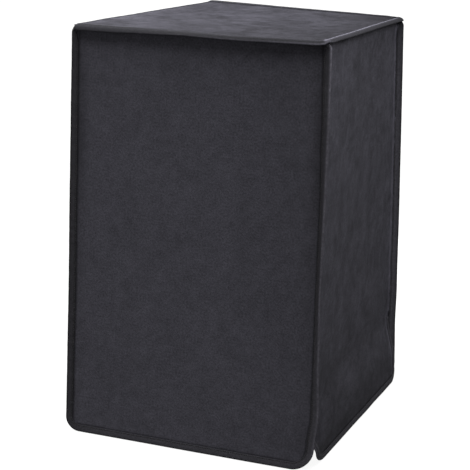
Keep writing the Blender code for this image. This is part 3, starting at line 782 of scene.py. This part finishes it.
# How light each tape is along its course, in painted light and shade: at parts of its length, the tone of its
# folded tip, of the outer and the inner half of its flat, and of its stitch line. Values below 1 are painted
# shade, such as the stitches' groove and the fold's dark tips, and values above 1 painted highlights, such as
# the fold's light tips and the top tape at the near right corner and along its right edge.
Tone = namedtuple("Tone", "run tip outer inner stitch")
TONES = {
    "front_binding": (
        Tone(0, 0.20, 0.55, 0.55, 0.15), Tone(0.37, 0.20, 0.55, 0.55, 0.15),
        Tone(0.41, 0.6, 1.0, 1.0, 0.25), Tone(0.58, 0.6, 1.0, 1.0, 0.25),
        Tone(0.64, 1.7, 0.9, 0.9, 0.15), Tone(0.70, 1.7, 0.8, 0.8, 0.15),
        Tone(0.78, 1.6, 0.6, 0.6, 0.15), Tone(0.94, 1.7, 0.6, 0.6, 0.15),
        Tone(1, 2.6, 0.6, 0.6, 0.15),
    ),
    "back_binding": (
        Tone(0, 0.3, 0.4, 0.5, 0.2), Tone(0.015, 0.5, 1.1, 1.6, 0.4),
        Tone(0.985, 0.5, 1.1, 1.6, 0.4), Tone(1, 0.3, 0.4, 0.5, 0.2),
    ),
    "left_hem_binding": (Tone(0, 0.9, 1.2, 1.2, 0.3), Tone(1, 0.9, 1.2, 1.2, 0.3)),
    "right_hem_binding": (Tone(0, 1.8, 0.7, 1.7, 0.1), Tone(1, 1.8, 0.7, 1.7, 0.1)),
    "top_binding": (
        Tone(0, 0.45, 0.3, 0.65, 0.85), Tone(0.06, 0.6, 0.2, 0.7, 1.0),
        Tone(0.109, 1.0, 0.2, 0.7, 0.9), Tone(0.1135, 1.0, 1.2, 6, 8),
        Tone(0.119, 0.5, 0.5, 1.2, 5.4), Tone(0.36, 0.4, 0.4, 0.7, 4.4),
        Tone(0.385, 0.3, 0.3, 0.4, 0.5), Tone(0.42, 0.7, 0.7, 0.7, 0.6),
        Tone(0.87, 0.8, 0.8, 0.8, 0.6), Tone(0.89, 0.35, 0.35, 0.60, 0.3),
        Tone(0.93, 0.4, 0.35, 0.60, 0.15), Tone(0.96, 0.4, 0.3, 0.6, 0.4),
        Tone(1, 0.45, 0.3, 0.65, 0.85),
    ),
}
OUTER_ENDS, INNER_STARTS = 4.5 * MM, 9.5 * MM
# Stripes that carry painted light and shade: the fold's tip, and the shade of the stitch line's groove.
TIP_STRIPE, STITCH_STRIPE = Stripe(1, 0, 2), Stripe(1, 10.9, 1.3)


def even_path(path, spacing, closed=False):
    """A path on a flat cut, resampled at even spacing, with the way inwards (a left turn from its course),
    the length run so far, and how far the tape can reach in before the inside of a tight corner meets
    itself: the radius of the sharpest turn nearby, less a clearance."""
    length = np.concatenate([[0], np.cumsum(np.linalg.norm(np.diff(path, axis=0), axis=1))])
    run = np.linspace(0, length[-1], int(round(length[-1] / spacing)) + 1)
    even = np.stack([np.interp(run, length, path[:, k]) for k in (0, 1)], axis=-1)
    if closed:
        course = np.roll(even[:-1], -1, axis=0) - np.roll(even[:-1], 1, axis=0)
        course = np.concatenate([course, course[:1]])
    else:
        course = np.gradient(even, axis=0)
    course = course / np.linalg.norm(course, axis=1, keepdims=True)
    inward = np.stack([-course[:, 1], course[:, 0]], axis=-1)
    turning = np.linalg.norm(np.gradient(course, axis=0), axis=1) / (run[1] - run[0])
    sharpest = np.array([
        turning[max(0, i - TURN_WINDOW):i + TURN_WINDOW + 1].max() for i in range(len(turning))
    ])
    room = np.minimum(1 / np.maximum(sharpest, 1) - TURN_CLEARANCE, TAPE_WIDTH)
    kernel = np.ones(ROOM_WINDOW) / ROOM_WINDOW
    room = np.convolve(np.pad(room, ROOM_WINDOW // 2, mode="edge"), kernel, mode="valid")
    return even, inward, run, room


def tape_points(point, path, profile):
    """Points of a tape folded over an edge, their UVs in metres along and across it, the cloth's normals and
    the lines' depths. Each line of the profile lies a depth inside the edge and stands off the cloth along
    its normal, which is the cross product of two short steps on the cloth."""
    even, inward, run, room = path
    depth = np.array([line.depth for line in profile]) * MM
    stand = np.array([line.stand_off for line in profile]) * TAPE_OFFSET
    depth = np.where(depth > 0, depth * (room / TAPE_WIDTH)[:, None], depth)
    start = np.maximum(depth - NORMAL_STEP, 0)[..., None]
    flat = even[:, None] + inward[:, None] * start
    beside = np.stack([-inward[:, 1], inward[:, 0]], axis=-1)[:, None] * NORMAL_STEP
    here = point(flat[..., 0], flat[..., 1])
    further = point(*np.moveaxis(flat + inward[:, None] * NORMAL_STEP, -1, 0))
    aside = point(*np.moveaxis(flat + beside, -1, 0))
    into = (further - here) / np.linalg.norm(further - here, axis=-1, keepdims=True)
    normal = np.cross(into, aside - here)
    normal /= np.linalg.norm(normal, axis=-1, keepdims=True)
    waver = 1 + WAVER * grain(run[:, None], depth, WAVER_CELL, seed=31)
    points = here + into * (depth[..., None] - start) + normal * (stand * waver)[..., None]
    across = np.cumsum(np.abs(np.diff(depth, prepend=0)), axis=1)
    uv = np.stack(np.broadcast_arrays(run[:, None], across), axis=-1)
    return points, uv, normal, depth


def tape_finish(name, colour):
    """Closely ribbed tape: fine ribs across its length as a bump, and a base colour that varies in specks of
    4 mm."""
    finish, shader, add = new_finish(name)
    place = add("ShaderNodeUVMap", uv_map="cut").outputs["UV"]
    ribs = add(
        "ShaderNodeTexWave", {"Vector": place, "Scale": wave_scale(TAPE_RIB), "Distortion": 0.4},
        wave_type="BANDS", bands_direction="X",
    ).outputs["Fac"]
    specks = add("ShaderNodeTexNoise", {"Vector": place, "Scale": 260.0, "Detail": 3.0}).outputs["Fac"]
    shade = add("ShaderNodeMapRange", {
        "Value": specks, "From Min": 0.3, "From Max": 0.7, "To Min": 0.75, "To Max": 1.28,
    }).outputs["Result"]
    toned_colour(finish, shader, add, colour, shade)
    bump = add("ShaderNodeBump", {"Height": ribs, "Strength": 0.4, "Distance": 0.15 * MM})
    finish.node_tree.links.new(bump.outputs["Normal"], shader.inputs["Normal"])
    shader.inputs["Roughness"].default_value = 0.8
    shader.inputs["Specular IOR Level"].default_value = 0.15
    return finish


def tape_tone(rows, run, depth):
    """Tone of a tape at depths inside its fold, from the rows of its table: it goes from the outer to the
    inner value over the middle of the flat, with a stripe of the tip's value and one of the stitch line's.
    All of it is painted light and shade."""
    tip, outer, inner, stitch = (
        np.interp(run / run[-1], [row.run for row in rows], [getattr(row, name) for row in rows])[:, None]
        for name in Tone._fields[1:]
    )
    tone = outer + (inner - outer) * np.clip((depth - OUTER_ENDS) / (INNER_STARTS - OUTER_ENDS), 0, 1)
    tone = tone + (tip - tone) * stripe(depth, TIP_STRIPE)
    return tone + (stitch - tone) * stripe(depth, STITCH_STRIPE)


def bound_path(side):
    """Course of a front or back panel's edge: down its left side, along the hem and up its right side."""
    up = HEIGHT * crowded(COURSE_POINTS, 0.95)
    left = np.stack([-bound_edge(side, -1, up), up], axis=-1)[::-1]
    right = np.stack([bound_edge(side, 1, up), up], axis=-1)
    return np.concatenate([left, right])


def hem_path(side):
    """Course of a side panel's free edge: round its left lower corner, along the hem and round the right one.
    Its points crowd together at the hem."""
    wall = WALLS[side]
    arms = []
    for end, name in ((-1, wall.left), (1, wall.right)):
        up = (CORNERS[name].seam_end - SHORT_OF_SEAM) * MM * np.linspace(0, 1, COURSE_POINTS) ** 2
        arms.append(np.stack([end * side_edge(side, end, up), up], axis=-1))
    return np.concatenate([arms[0][::-1], arms[1]])


def brim_path():
    """Course of the top's edge, anticlockwise from the middle of the front, with a quarter circle at each
    corner."""
    half = np.array([WIDTH / 2, DEPTH / 2]) + FLANGE
    turns = []
    for k, sides in enumerate(((1, -1), (1, 1), (-1, 1), (-1, -1))):
        angle = pi / 2 * (k - 1 + np.linspace(0, 1, BRIM_CORNER_POINTS))
        arc = np.stack([np.cos(angle), np.sin(angle)], axis=-1)
        turns.append((half - BRIM_CORNER) * sides + BRIM_CORNER * arc)
    start = np.array([[0, -half[1]]])
    return np.concatenate([start, *turns, start])


# A shaded and a lit copy of one tape: painted shade for the upright and hem lengths, the cloth's colour on
# top.
tape = tape_finish("binding_tape", SHADED_TAPE_COLOUR)
top_tape = tape_finish("top_binding_tape", CLOTH_COLOUR)
Binding = namedtuple("Binding", "piece point path panel")
BINDINGS = {
    "front_binding": Binding("front_tape", partial(wall_point, "front"), bound_path("front"), "front_cloth"),
    "back_binding": Binding("back_tape", partial(wall_point, "back"), bound_path("back"), "back_cloth"),
    "left_hem_binding": Binding("left_hem_tape", partial(side_point, "left"), hem_path("left"), "left_cloth"),
    "right_hem_binding": Binding(
        "right_hem_tape", partial(side_point, "right"), hem_path("right"), "right_cloth"
    ),
    "top_binding": Binding("top_tape", top_point, brim_path(), "top_cloth"),
}
tape_paths = {}
for node, binding in BINDINGS.items():
    closed = node == "top_binding"
    tape_paths[node] = even_path(binding.path, TAPE_SPACING, closed)
    run = tape_paths[node][2]
    points, uv, _, depth = tape_points(binding.point, tape_paths[node], TAPE_PROFILE)
    folded = grid_piece(binding.piece, points, TAPE, uv, tape_tone(TONES[node], run, depth), ring=closed)
    folded.data.materials.append(top_tape if closed else tape)
    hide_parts(node)


# ---- Stitches ------------------------------------------------------------------------------------------
# Dark grey sewing thread, about 0.5 mm thick: a straight row of short stitches along each tape's inner edge,
# on both faces, each sunk into the tape at its ends.
STITCH_PITCH, STITCH_LENGTH, STITCH_RADIUS = 3.4 * MM, 2.5 * MM, 0.26 * MM
STITCH_LINE = TapeLine(10.7, 0.98)
STITCH_LIFT = TAPE * 0.55
STITCH_RINGS, RING_SIDES = 5, 6
STITCH_START, STITCH_END = 0.04, 0.96
THREAD_COLOUR = (0.03, 0.029, 0.033, 1.0)


def stitch_rows(point, path):
    """Vertices and faces of a row of stitches on each face of a tape. Every stitch is a six-sided bead that
    arches up by sin(pi t)^0.5 and whose rings swell by sin(pi t)^0.6 as t goes from 0 to 1."""
    even, inward, run, room = path
    count = int(run[-1] / STITCH_PITCH)
    middles = (np.arange(count) + 0.5) * run[-1] / count
    ring = np.linspace(0, 2 * pi, RING_SIDES + 1)[:-1]
    t = np.linspace(STITCH_START, STITCH_END, STITCH_RINGS)
    places = (middles[:, None] + (t - 0.5) * STITCH_LENGTH).ravel()
    fine_path = [np.stack([np.interp(places, run, a[:, k]) for k in (0, 1)], -1) for a in (even, inward)]
    fine_path += [places, np.interp(places, run, room)]
    vertices = []
    for face in (1, -1):
        line = (TapeLine(STITCH_LINE.depth, face * STITCH_LINE.stand_off),)
        spine, _, normal, _ = tape_points(point, fine_path, line)
        spine, normal = spine.reshape(count, STITCH_RINGS, 3), normal.reshape(count, STITCH_RINGS, 3)
        course = np.gradient(spine, axis=1)
        course /= np.linalg.norm(course, axis=-1, keepdims=True)
        lift = normal * face * (STITCH_LIFT * np.sin(pi * t) ** 0.5)[:, None]
        across = np.cross(course, normal)
        swell = (STITCH_RADIUS * np.sin(pi * t) ** 0.6)[:, None, None]
        around = across[:, :, None] * np.cos(ring)[:, None] + normal[:, :, None] * np.sin(ring)[:, None]
        vertices.append((spine + lift)[:, :, None] + around * swell)
    vertices = np.concatenate(vertices)
    index = np.arange(vertices.size // 3).reshape(vertices.shape[:3])
    onward = np.roll(index, -1, axis=2)
    side_faces = np.stack([index[:, :-1], onward[:, :-1], onward[:, 1:], index[:, 1:]], axis=-1)
    caps = np.concatenate([index[:, 0, ::-1], index[:, -1]])
    return vertices.reshape(-1, 3), side_faces.reshape(-1, 4).tolist() + caps.tolist()


thread, thread_shader, _ = new_finish("sewing_thread")
thread_shader.inputs["Base Color"].default_value = THREAD_COLOUR
thread_shader.inputs["Roughness"].default_value = 0.5
for node, binding in BINDINGS.items():
    vertices, faces = stitch_rows(binding.point, tape_paths[node])
    mesh = bpy.data.meshes.new(node.replace("binding", "stitches"))
    mesh.from_pydata(vertices, [], faces)
    mesh.shade_smooth()
    mesh.materials.append(thread)
    stitches = bpy.data.objects.new(mesh.name, mesh)
    bpy.context.scene.collection.objects.link(stitches)
    stitches.parent = bpy.data.objects[binding.piece]


low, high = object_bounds()
